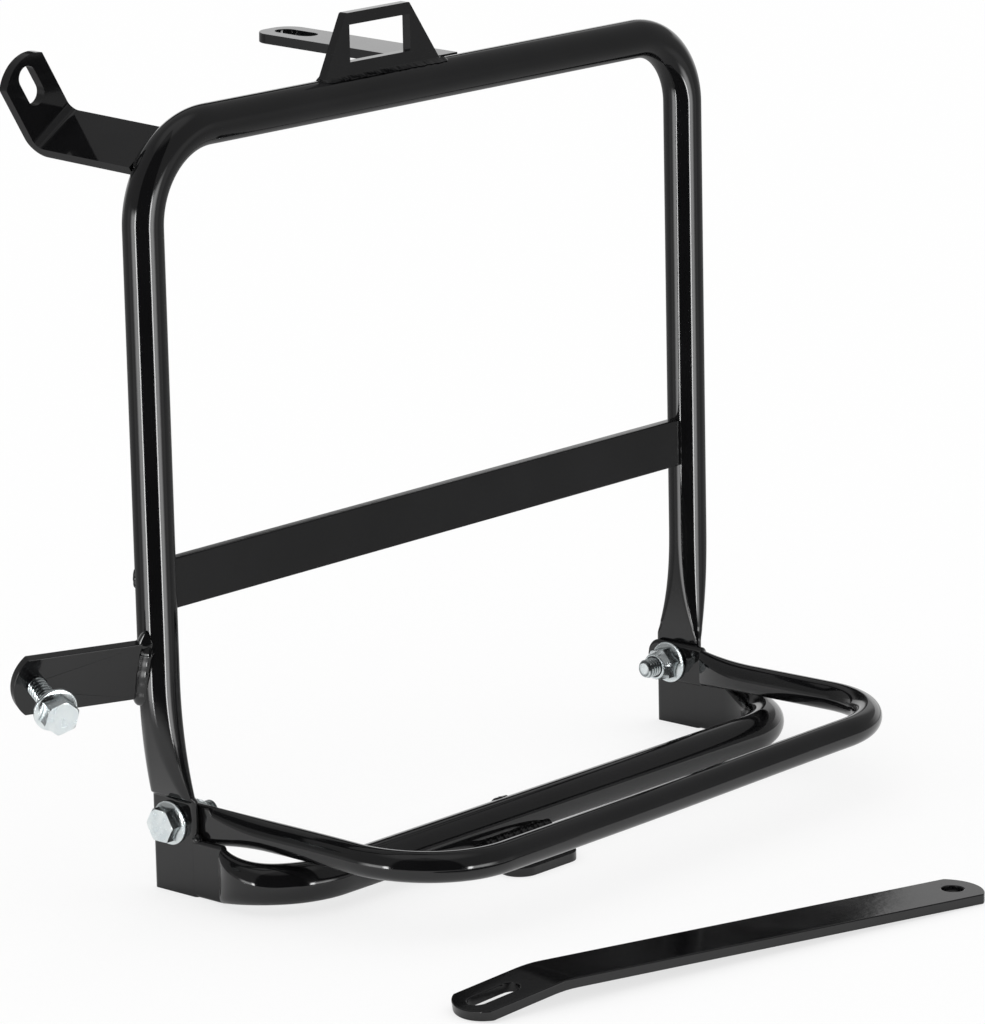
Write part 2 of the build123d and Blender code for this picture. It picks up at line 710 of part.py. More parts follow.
# Welds of the base tab, along the front and back of the tube that lies on it.
tab_bead_y = sqrt(2 * tube_r * tab_bead_r) - bead_lift
with BuildPart() as tab_welds:
    for face in (-1, 1):
        tab_bead_x = tab_x + face * tab_bead_y * tab_slant
        tab_bead = (tab_bead_x, base_front_y + face * tab_bead_y, tab_top_z + bead_lift)
        with Locations(Location(tab_bead, (0, 90, 0))):
            add(bead(tab_width - tab_bead_r, tab_bead_r))
    with Locations(Location((tab_x, base_front_y, base_z), (0, 90, 0))):
        Cylinder(tube_r + joint_play, 3 * tab_width, mode=Mode.SUBTRACT)
    with Locations((tab_x, base_front_y, tab_top_z + joint_play)):
        Box(
            2 * tab_width,
            4 * tube_r,
            4 * tab_bead_r,
            align=(Align.CENTER, Align.CENTER, Align.MAX),
            mode=Mode.SUBTRACT,
        )

tab_welds.part.label = "tab_welds"

tab_welds.part.location = row_place
export_step(tab_welds.part, "parts/tab_welds.step")

# Welds in the inner corners where the base bow's flats meet the legs' flats.
corner_y = -flat_width / 2 - joint_play
corner_z = flat_width + joint_play
with BuildPart() as corner_welds:
    for side in (-1, 1):
        with Locations(Location((side * plate_mid_x, corner_y, corner_z), (0, 90, 0))):
            Cylinder(corner_bead_r, press_thick)
    with Locations((0, corner_y, corner_z)):
        for alignment in ((Align.CENTER, Align.MIN, Align.CENTER), (Align.CENTER, Align.CENTER, Align.MAX)):
            Box(leg_span, flat_width, flat_width, align=alignment, mode=Mode.SUBTRACT)

corner_welds.part.label = "corner_welds"

corner_welds.part.location = row_place
export_step(corner_welds.part, "parts/corner_welds.step")
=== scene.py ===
import logging
import math
from dataclasses import dataclass, field
from enum import Enum

import bmesh
import bpy
import numpy as np
from mathutils import Matrix, Vector


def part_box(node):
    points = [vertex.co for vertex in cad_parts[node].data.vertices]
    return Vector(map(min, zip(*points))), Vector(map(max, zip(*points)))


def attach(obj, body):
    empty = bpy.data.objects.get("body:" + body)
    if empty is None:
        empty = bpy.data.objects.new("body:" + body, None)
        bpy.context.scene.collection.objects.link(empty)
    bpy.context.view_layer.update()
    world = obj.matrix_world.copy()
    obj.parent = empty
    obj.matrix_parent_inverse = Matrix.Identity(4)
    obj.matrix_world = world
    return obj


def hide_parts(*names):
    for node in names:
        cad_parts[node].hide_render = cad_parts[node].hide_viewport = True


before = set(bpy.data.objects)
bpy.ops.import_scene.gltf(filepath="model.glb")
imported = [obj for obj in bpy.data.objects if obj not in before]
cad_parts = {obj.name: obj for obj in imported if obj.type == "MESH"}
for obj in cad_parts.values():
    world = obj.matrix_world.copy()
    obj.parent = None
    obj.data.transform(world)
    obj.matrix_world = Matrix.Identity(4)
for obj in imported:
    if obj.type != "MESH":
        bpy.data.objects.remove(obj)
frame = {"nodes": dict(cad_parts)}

log = logging.getLogger("pannier_frame")
MM = 0.001
SHADE_ATTRIBUTE = "shade_amount"
IMAGE_HEIGHT = 1024
NOISE_SPAN = (0.3, 0.7)
NO_END = (400.0, 401.0)
MERGE = 0.001 * MM
Material, Socket, Tree = bpy.types.Material, bpy.types.NodeSocket, bpy.types.NodeTree


class Slot(Enum):
    """Material slots of the record."""

    PAINT = "paint"
    ZINC = "zinc"


class Body(Enum):
    """The two bodies of the frame."""

    FRAME = "frame"
    FOLDING_BOW = "folding_bow"


class Hand(Enum):
    """The two sides of the frame, by the sign of X."""

    LEFT = -1
    RIGHT = 1


def new_material(name: str) -> tuple[Material, bpy.types.Node]:
    """Makes a node material with its surface shader.

    Args:
        name: name of the material.

    Returns:
        The material and its surface shader node.
    """
    material = bpy.data.materials.new(name)
    material.use_nodes = True
    return material, material.node_tree.nodes["Principled BSDF"]


def added(tree: Tree, *kinds: str) -> list[bpy.types.Node]:
    """Adds shader nodes.

    Args:
        tree: node tree to add to.
        kinds: their kinds, without the common start of the name.

    Returns:
        The nodes.
    """
    return [tree.nodes.new(f"ShaderNode{kind}") for kind in kinds]


def feed(node: bpy.types.Node, inputs: dict) -> None:
    """Sets a node's inputs: links what comes from a socket and writes plain values.

    Args:
        node: the node.
        inputs: what goes in, by the input's name or number.
    """
    for key, value in inputs.items():
        if isinstance(value, Socket):
            node.id_data.links.new(value, node.inputs[key])
        else:
            node.inputs[key].default_value = value


def mapped(
    tree: Tree, value: Socket, low: float, high: float, span: tuple = NOISE_SPAN, way: str = "LINEAR"
) -> Socket:
    """Maps a span of values onto a range.

    Args:
        tree: node tree to add to.
        value: the value.
        low: result at the start of the span.
        high: result at its end.
        span: start and end, by default those of the middle of a noise.
        way: how the result goes from one to the other.

    Returns:
        The result.
    """
    node, = added(tree, "MapRange")
    node.interpolation_type = way
    start, end = span
    feed(node, {"Value": value, "From Min": start, "From Max": end, "To Min": low, "To Max": high})
    return node.outputs["Result"]


def blended(tree: Tree, share: Socket, first: tuple, second: tuple) -> Socket:
    """Colour that goes from one to another with a noise.

    Args:
        tree: node tree to add to.
        share: noise value.
        first: colour where the noise is lowest.
        second: colour where it is highest.

    Returns:
        The colour.
    """
    ramp, = added(tree, "ValToRGB")
    for element, position, colour in zip(ramp.color_ramp.elements, NOISE_SPAN, (first, second)):
        element.position, element.color = position, (*colour, 1)
    feed(ramp, {"Fac": share})
    return ramp.outputs["Color"]


def bumped(tree: Tree, height: Socket, depth: float, strength: float) -> Socket:
    """Surface relief from a height.

    Args:
        tree: node tree to add to.
        height: height from 0 to 1.
        depth: metres that 1 stands for.
        strength: share of the relief that shows.

    Returns:
        The normal.
    """
    node, = added(tree, "Bump")
    feed(node, {"Height": height, "Distance": depth, "Strength": strength})
    return node.outputs["Normal"]


def calculated(tree: Tree, step: str, *values: object) -> Socket:
    """One step of arithmetic on sockets or plain numbers.

    Args:
        tree: node tree to add to.
        step: name of the operation.
        values: the one or two values that it takes.

    Returns:
        The result.
    """
    node, = added(tree, "Math")
    node.operation = step
    feed(node, dict(enumerate(values)))
    return node.outputs["Value"]


def windowed(tree: Tree, value: Socket, start: float, full: float, ebb: float, stop: float) -> Socket:
    """Soft window: 0 up to start, 1 from full to ebb, 0 again from stop on.

    Args:
        tree: node tree to add to.
        value: the value looked at.
        start: where the window begins to open.
        full: where it is open.
        ebb: where it begins to close.
        stop: where it is closed.

    Returns:
        The window's value.
    """
    opening = mapped(tree, value, 0.0, 1.0, (start, full), "SMOOTHSTEP")
    return calculated(tree, "MULTIPLY", opening, mapped(tree, value, 1.0, 0.0, (ebb, stop), "SMOOTHSTEP"))


@dataclass(frozen=True)
class Grain:
    """A noise over a piece: cells per metre, octaves of finer noise, and its stretch along each axis."""

    cells: float
    detail: float
    stretch: tuple = (1, 1, 1)

    def value(self, tree: Tree) -> Socket:
        """Noise on the piece's own coordinates.

        Args:
            tree: node tree to add to.

        Returns:
            The noise value.
        """
        place, turn, noise = added(tree, "TexCoord", "Mapping", "TexNoise")
        feed(turn, {"Vector": place.outputs["Object"], "Scale": self.stretch})
        feed(noise, {"Vector": turn.outputs["Vector"], "Scale": self.cells, "Detail": self.detail})
        return noise.outputs["Fac"]


@dataclass(frozen=True)
class Finish:
    """A finish: colour and roughness go from one to another with a cloud noise, relief with a finer one."""

    name: str
    colours: tuple
    roughness: tuple
    cloud: Grain
    relief: Grain
    depth: float
    share: float
    # Dark colour painted in as shade in grooves, corners and bores; empty for none.
    painted_shade: tuple = ()
    metallic: float = 0.0
    ior: float = 1.5

    def material(self) -> Material:
        """Makes the material; where the finish has a painted shade colour, each point's painted shade
        attribute mixes it in, in grooves, corners and bores.

        Returns:
            The material.
        """
        material, shader = new_material(self.name)
        tree = material.node_tree
        cloud, relief = self.cloud.value(tree), self.relief.value(tree)
        colour = blended(tree, cloud, *self.colours)
        # Painted shade: the colour goes toward the dark shade colour as far as each point's attribute says.
        if self.painted_shade:
            shade_amount, mix = added(tree, "Attribute", "Mix")
            shade_amount.attribute_name = SHADE_ATTRIBUTE
            mix.data_type = "RGBA"
            feed(mix, {"Factor": shade_amount.outputs["Fac"], "A": colour, "B": (*self.painted_shade, 1)})
            colour = mix.outputs["Result"]
        feed(shader, {
            "Base Color": colour,
            "Roughness": mapped(tree, cloud, *self.roughness),
            "Normal": bumped(tree, relief, self.depth, self.share),
            "Metallic": self.metallic,
            "IOR": self.ior,
        })
        return material


STOVE_ENAMEL = Finish(
    "stove_enamel", ((0.0035, 0.0035, 0.0038), (0.006, 0.006, 0.0065)), (0.05, 0.10),
    Grain(28.0, 3.0), Grain(420.0, 1.0), depth=0.02 * MM, share=0.35, ior=1.52,
)
ZINC_PLATE = Finish(
    "zinc_plate", ((0.66, 0.72, 0.74), (0.80, 0.845, 0.845)), (0.30, 0.19),
    Grain(260.0, 4.0), Grain(900.0, 2.0, (1, 6, 1)), depth=0.03 * MM, share=0.3,
    # Colour of the painted shade in thread roots, under the hexagon and in the nut's bore.
    painted_shade=(0.15, 0.17, 0.175), metallic=1.0,
)
# The locking ring is coloured near black as painted shade for the shadowed gap round the thread.
NYLON_PAINTED_SHADE = Finish(
    "nylon_painted_shade", ((0.02, 0.022, 0.025), (0.045, 0.05, 0.055)), (0.38, 0.52),
    Grain(1200.0, 3.0), Grain(1200.0, 3.0), depth=0.02 * MM, share=0.3,
)


@dataclass(frozen=True)
class Panel:
    """A patch of the studio: where it opens and closes in turn and in height, in degrees, and its level."""

    turn: tuple
    height: tuple
    gain: float
    right_only: bool = False

    def glow(self, tree: Tree, turn: Socket, height: Socket) -> Socket:
        """Level of the panel in a direction.

        Args:
            tree: node tree to add to.
            turn: turn from the camera's side.
            height: height above the level.

        Returns:
            The level.
        """
        beside, above = windowed(tree, turn, *self.turn), windowed(tree, height, *self.height)
        return calculated(tree, "MULTIPLY", calculated(tree, "MULTIPLY", beside, above), self.gain)


@dataclass
class Studio:
    """White floor, the studio that lights the part and that its gloss sees, and the photograph's camera."""

    azimuth: float = -47.57
    elevation: float = 13.74
    roll: float = -1.23
    distance: float = 2297.34
    target_x: float = 34.78
    target_z: float = 116.16
    focal_px: float = 5607.61
    sensor: float = 36.0
    clip: tuple = (0.01, 100)
    floor_half: float = 6.0
    floor_white: float = 0.98
    floor_roughness: float = 0.9
    floor_glow: float = 0.72
    table_edge: tuple = (0.15, 0.28)
    night: float = 0.02
    panels: tuple = (
        Panel((33.0, 37.0, *NO_END), (-200.0, -199.0, 200.0, 201.0), 0.26),
        Panel((33.0, 37.0, *NO_END), (-200.0, -199.0, -60.0, -4.0), 0.10),
        Panel((36.5, 38.5, 56.0, 72.0), (-44.0, -26.0, 2.0, 11.0), 4.2),
        Panel((37.0, 38.5, 41.5, 43.5), (-44.0, -26.0, 2.0, 11.0), 14.0),
        Panel((66.0, 74.0, 84.0, 96.0), (-44.0, -26.0, 2.0, 14.0), 0.25),
        Panel((118.0, 150.0, *NO_END), (-10.0, 0.0, 12.5, 14.5), 0.75),
        Panel((150.0, 165.0, *NO_END), (13.5, 15.0, 24.0, 34.0), -0.26),
        Panel((150.0, 165.0, 175.05, 175.2), (13.5, 15.0, 24.0, 34.0), 0.60, True),
        Panel((0.0, 1.0, *NO_END), (60.0, 76.0, 200.0, 201.0), 0.30),
    )

    def camera(self, origin: Vector) -> bpy.types.Object:
        """Sets the camera at the photograph's place.

        Args:
            origin: middle of the legs on the floor.

        Returns:
            The camera.
        """
        swing, climb, roll = (math.radians(v) for v in (self.azimuth, self.elevation, self.roll))
        flat = math.cos(climb)
        back = Vector((math.sin(swing) * flat, -math.cos(swing) * flat, math.sin(climb)))
        level = Vector((math.cos(swing), math.sin(swing), 0))
        rise = back.cross(level)
        right = level * math.cos(roll) + rise * math.sin(roll)
        up = rise * math.cos(roll) - level * math.sin(roll)
        place = origin + Vector((self.target_x, 0, self.target_z)) * MM + back * self.distance * MM
        data = bpy.data.cameras.new("photo_camera")
        data.sensor_width = self.sensor
        data.lens = self.focal_px * self.sensor / IMAGE_HEIGHT
        data.clip_start, data.clip_end = self.clip
        camera = bpy.data.objects.new("photo_camera", data)
        bpy.context.scene.collection.objects.link(camera)
        turn = Matrix((right, up, back)).transposed()
        camera.matrix_world = Matrix.Translation(place) @ turn.to_4x4()
        bpy.context.scene.camera = camera
        return camera

    def floor(self) -> bpy.types.Object:
        """Lays the white floor, which takes a light, soft shadow.

        Gloss sees the floor only close by, and further off the studio round it, as from a small table.

        Returns:
            The floor.
        """
        half = self.floor_half
        corners = [(-half, -half, 0), (half, -half, 0), (half, half, 0), (-half, half, 0)]
        mesh = bpy.data.meshes.new("floor")
        mesh.from_pydata(corners, [], [(0, 1, 2, 3)])
        floor = bpy.data.objects.new("floor", mesh)
        bpy.context.scene.collection.objects.link(floor)
        material, shader = new_material("floor_white")
        tree = material.node_tree
        white = (*(self.floor_white,) * 3, 1)
        feed(shader, {"Base Color": white, "Roughness": self.floor_roughness, "Specular IOR Level": 0.0})
        glow, clear, path = added(tree, "Emission", "BsdfTransparent", "LightPath")
        lit, blend = added(tree, "MixShader", "MixShader")
        share = calculated(tree, "MULTIPLY", path.outputs["Is Camera Ray"], self.floor_glow)
        far = windowed(tree, path.outputs["Ray Length"], *self.table_edge, *NO_END)
        gone = calculated(tree, "MULTIPLY", path.outputs["Is Glossy Ray"], far)
        feed(lit, {"Fac": share, 1: shader.outputs["BSDF"], 2: glow.outputs["Emission"]})
        feed(blend, {"Fac": gone, 1: lit.outputs["Shader"], 2: clear.outputs["BSDF"]})
        feed(tree.nodes["Material Output"], {"Surface": blend.outputs["Shader"]})
        mesh.materials.append(material)
        return floor

    def world(self) -> None:
        """White light all round; in gloss a dark studio with its pale panels.

        The level in gloss is a sum of the panels, each a soft window over two angles of the direction:
        how far it turns from the camera's side, and how high it looks.
        """
        world = bpy.data.worlds.new("studio")
        world.use_nodes = True
        world.cycles.sampling_method = "NONE"
        bpy.context.scene.world = world
        tree = world.node_tree
        place, turn, axes, path, choice = added(
            tree, "TexCoord", "Mapping", "SeparateXYZ", "LightPath", "Mix"
        )
        feed(turn, {"Vector": place.outputs["Generated"], "Rotation": (0, 0, -math.radians(self.azimuth))})
        feed(axes, {"Vector": turn.outputs["Vector"]})
        toward = calculated(tree, "MULTIPLY", axes.outputs["Y"], -1.0)
        hand = calculated(tree, "DEGREES", calculated(tree, "ARCTAN2", axes.outputs["X"], toward))
        swing = calculated(tree, "ABSOLUTE", hand)
        height = calculated(tree, "DEGREES", calculated(tree, "ARCSINE", axes.outputs["Z"]))
        level = self.night
        for panel in self.panels:
            turned = hand if panel.right_only else swing
            level = calculated(tree, "ADD", level, panel.glow(tree, turned, height))
        choice.data_type = "FLOAT"
        feed(choice, {"Factor": path.outputs["Is Glossy Ray"], "A": 1.0, "B": level})
        feed(tree.nodes["Background"], {"Strength": choice.outputs["Result"], "Color": (1, 1, 1, 1)})


def wrapped_faces(rows: int, columns: int, ring: bool) -> np.ndarray:
    """Four-cornered faces of a grid of points.

    Args:
        rows: points along the shape.
        columns: points round it, which always close.
        ring: whether the last row joins the first.

    Returns:
        The corners' numbers, one face to a line.
    """
    row, column = np.meshgrid(np.arange(rows if ring else rows - 1), np.arange(columns), indexing="ij")
    beside = (column + 1) % columns
    here, after = row * columns, (row + 1) % rows * columns
    return np.stack((here + column, here + beside, after + beside, after + column), axis=-1).reshape(-1, 4)


def skinned(
    name: str, grids: list[np.ndarray], ring: bool, crease: float, shade_amount: np.ndarray | None = None
) -> bpy.types.Object:
    """Makes one piece from grids of points; rows that shrink to a point close as poles.

    Args:
        name: name of the piece.
        grids: points in metres, rows by columns by three.
        ring: whether each grid's last row joins its first.
        crease: angle from which an edge stays sharp, in degrees.
        shade_amount: painted shade of each point, from 0 to 1.

    Returns:
        The piece, at the origin.
    """
    starts = np.cumsum([0] + [grid.shape[0] * grid.shape[1] for grid in grids])
    points = np.concatenate([grid.reshape(-1, 3) for grid in grids])
    faces = [wrapped_faces(*grid.shape[:2], ring) + start for grid, start in zip(grids, starts)]
    mesh = bpy.data.meshes.new(name)
    mesh.from_pydata(points, [], np.concatenate(faces))
    # The painted shade is kept as a point attribute that the finish reads.
    if shade_amount is not None:
        mesh.attributes.new(SHADE_ATTRIBUTE, "FLOAT", "POINT").data.foreach_set("value", shade_amount.ravel())
    shell = bmesh.new()
    shell.from_mesh(mesh)
    bmesh.ops.remove_doubles(shell, verts=shell.verts, dist=MERGE)
    bmesh.ops.recalc_face_normals(shell, faces=shell.faces)
    shell.to_mesh(mesh)
    shell.free()
    mesh.polygons.foreach_set("use_smooth", np.ones(len(mesh.polygons), dtype=bool))
    mesh.set_sharp_from_angle(angle=math.radians(crease))
    piece = bpy.data.objects.new(name, mesh)
    bpy.context.scene.collection.objects.link(piece)
    return piece


def dressed(
    piece: bpy.types.Object, nodes: tuple, finish: Material, body: Body = Body.FRAME
) -> None:
    """Gives a piece its finish and its body, and hides the nodes that it stands for.

    Args:
        piece: the piece.
        nodes: names of the nodes.
        finish: its material.
        body: the body that it moves with.
    """
    piece.data.materials.append(finish)
    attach(piece, body.value)
    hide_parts(*nodes)
    log.info("made %s in place of %s", piece.name, ", ".join(nodes))


class Lie(Enum):
    """How a bow lies: the way from its open ends to its bar, and the way across its flats."""

    UPRIGHT = ((0, 0, 1), (0, 1, 0))
    LEVEL = ((0, -1, 0), (0, 0, 1))


class KeptSide(Enum):
    """The side of a pressed end that stays straight, by the sign of the way that its middle moves."""

    INNER = 1
    OUTER = -1


@dataclass
class PressedBow:
    """Bow of bent tube whose two ends are pressed flat to one side, in mm about the middle of the legs."""

    name: str
    node: str
    body: Body
    lie: Lie
    kept: KeptSide
    tube: float
    half_span: float
    open_end: float
    bar: float
    left_bend: float
    right_bend: float
    press_at: float
    round_at: float
    level: float = 0.0
    end_corner: float = 0.0
    rise: float = 0.0
    sag: float = 0.0
    sag_x: float = 35.0
    sag_spread: float = 40.0
    pivot: tuple = (0.0, 1.5, 28.2)
    flat: float = 3.0
    shoulder: float = 6.5
    ramps: tuple = (2.4, 2.4)
    eases: tuple = (2.1, 2.1)
    columns: int = 80
    even_step: float = 1.6
    end_zone: float = 3.0
    end_step: float = 0.25
    ease_step: float = 0.8
    ease_past: float = 6.0
    ramp_past: float = 1.2
    ramp_rows: int = 25
    crease: float = 40.0

    def stations(self) -> np.ndarray:
        """Distances along the tube from its left end: even steps, close ones over the pressed ends."""
        long = self.lengths()[-1]
        close = np.concatenate((
            np.arange(0, self.end_zone, self.end_step),
            np.arange(self.end_zone, self.round_at + self.ease_past, self.ease_step),
            self.press_at + np.linspace(-self.ramp_past, max(self.ramps) + self.ramp_past, self.ramp_rows),
        ))
        even = np.linspace(0, long, int(long / self.even_step))
        every = np.concatenate((even, close, long - close))
        return np.unique(every.round(4)).clip(0, long)

    def lengths(self) -> np.ndarray:
        """Distances along the tube to the end of its left leg, left bend, bar, right bend and right leg."""
        legs = [self.bar - self.open_end - bend for bend in (self.left_bend, self.right_bend)]
        arcs = [bend * math.pi / 2 for bend in (self.left_bend, self.right_bend)]
        bar = 2 * self.half_span - self.left_bend - self.right_bend
        return np.cumsum((legs[0], arcs[0], bar, arcs[1], legs[1]))

    def middle(self, along: np.ndarray) -> tuple[np.ndarray, np.ndarray]:
        """Middle line of the tube and the way to the inside of the bow, in the bow's own plane.

        Two straight legs and a straight bar, joined by quarter circles.

        Args:
            along: distances along the tube.

        Returns:
            Points across and toward the bar, and the way inward at each.
        """
        leg, left, bar, right, _ = self.lengths()
        turn = np.clip((along - leg) / self.left_bend, 0, math.pi / 2)
        turn = turn + np.clip((along - bar) / self.right_bend, 0, math.pi / 2)
        late = along > (left + bar) / 2
        bend = np.where(late, self.right_bend, self.left_bend)
        hub = np.where(late, self.half_span - bend, bend - self.half_span)
        ahead = np.clip(along - left, 0, bar - left) - np.where(late, bar - left, 0)
        across = hub + ahead - bend * np.cos(turn)
        out = self.bar - bend + bend * np.sin(turn)
        out = out - np.clip(leg - along, 0, None) - np.clip(along - right, 0, None)
        inward = np.stack((np.cos(turn), -np.sin(turn)), axis=-1)
        return np.stack((across, out), axis=-1), inward

    def thickness(self, along: np.ndarray) -> np.ndarray:
        """Thickness of the tube: flat, a steep smooth ramp to the shoulder, then a long ease to round.

        Args:
            along: distances along the tube.

        Returns:
            Thickness at each.
        """
        far = self.lengths()[-1] - along
        near = np.minimum(along, far)
        ease = np.where(along < far, *self.eases)
        ramp = np.where(along < far, *self.ramps)
        top = self.press_at + ramp
        share = np.clip((self.round_at - near) / (self.round_at - top), 0, 1)
        body = self.tube - (self.tube - self.shoulder) * share ** ease
        climb = np.clip((near - self.press_at) / ramp, 0, 1)
        climb = climb * climb * (3 - 2 * climb)
        return self.flat + (body - self.flat) * climb

    def width(self, along: np.ndarray, thick: np.ndarray) -> np.ndarray:
        """Width that keeps the tube's girth, less what rounds the corners of its ends.

        Args:
            along: distances along the tube.
            thick: thickness at each.

        Returns:
            Width at each.
        """
        near = np.minimum(along, self.lengths()[-1] - along)
        short = np.clip(self.end_corner - near, 0, None)
        corner = self.end_corner - np.sqrt(self.end_corner ** 2 - short ** 2)
        return thick + math.pi * (self.tube - thick) / 2 - 2 * corner

    def section(self, thick: np.ndarray, width: np.ndarray) -> tuple[np.ndarray, np.ndarray]:
        """Long round-ended section: flats, and half circles as wide as it is thick.

        Each quarter is stepped evenly along its length, first the half flat and then the quarter circle.

        Args:
            thick: thickness at each station.
            width: width at each station.

        Returns:
            Offsets across the width and through the thickness, over stations and columns.
        """
        step = np.arange(self.columns) * (4 / self.columns)
        quarter = np.floor(step).astype(int)
        part = np.where(quarter % 2 == 0, step - quarter, 1 - (step - quarter))
        half, round_r = ((width - thick) / 2)[:, None], (thick / 2)[:, None]
        gone = part[None, :] * (half + round_r * math.pi / 2)
        angle = np.clip((gone - half) / round_r, 0, math.pi / 2)
        wide = np.minimum(gone, half) + round_r * np.sin(angle)
        deep = round_r * np.cos(angle)
        inner = (quarter == 0) | (quarter == 3)
        return wide * np.where(quarter < 2, 1, -1), deep * np.where(inner, 1, -1)

    def build(self, origin: np.ndarray, finish: Material) -> None:
        """Makes the bow: its section carried along its middle line, pushed to the kept side, ends closed.

        Args:
            origin: middle of the legs, in metres.
            finish: the enamel.
        """
        along = self.stations()
        thick = self.thickness(along)
        wide, deep = self.section(thick, self.width(along, thick))
        line, inward = self.middle(along)
        shift = deep + self.kept.value * ((self.tube - thick) / 2)[:, None]
        place = line[:, None, :] + shift[:, :, None] * inward[:, None, :]
        out, flat_way = (np.array(way, dtype=float) for way in self.lie.value)
        across = np.array((1.0, 0.0, 0.0))
        points = place[..., :1] * across + place[..., 1:] * out + wide[..., None] * flat_way
        points = self.settled(points + self.level * flat_way)
        ends = points[[0, -1]].mean(axis=1, keepdims=True) * np.ones((1, self.columns, 1))
        points = np.concatenate((ends[:1], points, ends[1:]))
        piece = skinned(self.name, [origin + points * MM], False, self.crease)
        dressed(piece, (self.node,), finish, self.body)

    def settled(self, points: np.ndarray) -> np.ndarray:
        """Turns the bow up about its pivot, and lets its front bend down more to the left, along a soft step.

        Args:
            points: the points in mm.

        Returns:
            The points as they rest.
        """
        turn = math.radians(-self.rise)
        off = points - np.array(self.pivot)
        share = np.clip(-off[..., 1] / (self.bar + self.pivot[1]), 0, 1)
        fall = self.sag * share ** 3 / (1 + np.exp((off[..., 0] - self.sag_x) / self.sag_spread))
        y = off[..., 1] * math.cos(turn) - off[..., 2] * math.sin(turn)
        z = off[..., 1] * math.sin(turn) + off[..., 2] * math.cos(turn) - fall
        return np.array(self.pivot) + np.stack((off[..., 0], y, z), axis=-1)


@dataclass
class Bows:
    """The three bows of bent tube."""

    upright: PressedBow = field(default_factory=lambda: PressedBow(
        "bent_upright_bow", "upright_bow", Body.FRAME, Lie.UPRIGHT, KeptSide.INNER,
        tube=16.0, half_span=158.0, open_end=0.0, bar=299.5, left_bend=35.5, right_bend=30.5,
        press_at=38.0, round_at=88.0, shoulder=6.0, ramps=(2.4, 6.0), eases=(2.1, 2.6),
    ))
    foot: PressedBow = field(default_factory=lambda: PressedBow(
        "bent_foot_bow", "base_bow", Body.FRAME, Lie.LEVEL, KeptSide.INNER,
        tube=16.0, half_span=158.0, open_end=10.3, bar=60.3, left_bend=35.0, right_bend=35.0,
        press_at=15.0, round_at=44.0, level=11.71,
    ))
    folding: PressedBow = field(default_factory=lambda: PressedBow(
        "bent_folding_bow", "folding_bow", Body.FOLDING_BOW, Lie.LEVEL, KeptSide.OUTER,
        tube=12.0, half_span=143.7, open_end=-13.3, bar=129.5, left_bend=40.0, right_bend=40.0,
        press_at=29.0, round_at=60.0, level=28.2, end_corner=5.0, rise=0.7, sag=2.4,
    ))

    def build(self, origin: np.ndarray, finish: Material) -> None:
        """Makes the bows.

        Args:
            origin: middle of the legs, in metres.
            finish: the enamel.
        """
        for bow in (self.upright, self.foot, self.folding):
            bow.build(origin, finish)


@dataclass(frozen=True)
class Seat:
    """Where a turned piece sits, in mm about the middle of the legs: its axis, and a line across it."""

    place: tuple
    axis: tuple
    across: tuple

    def carried(self, points: np.ndarray, origin: np.ndarray) -> np.ndarray:
        """Moves points from the piece's own axes: x along the line across, z along the axis, y square.

        Args:
            points: points in mm, the last index over x, y and z.
            origin: middle of the legs, in metres.

        Returns:
            The points in metres.
        """
        axis = np.array(self.axis) / np.linalg.norm(self.axis)
        across = np.array(self.across) - axis * np.dot(axis, self.across)
        across = across / np.linalg.norm(across)
        turn = np.stack((across, np.cross(axis, across), axis))
        return origin + (np.array(self.place) + points @ turn) * MM


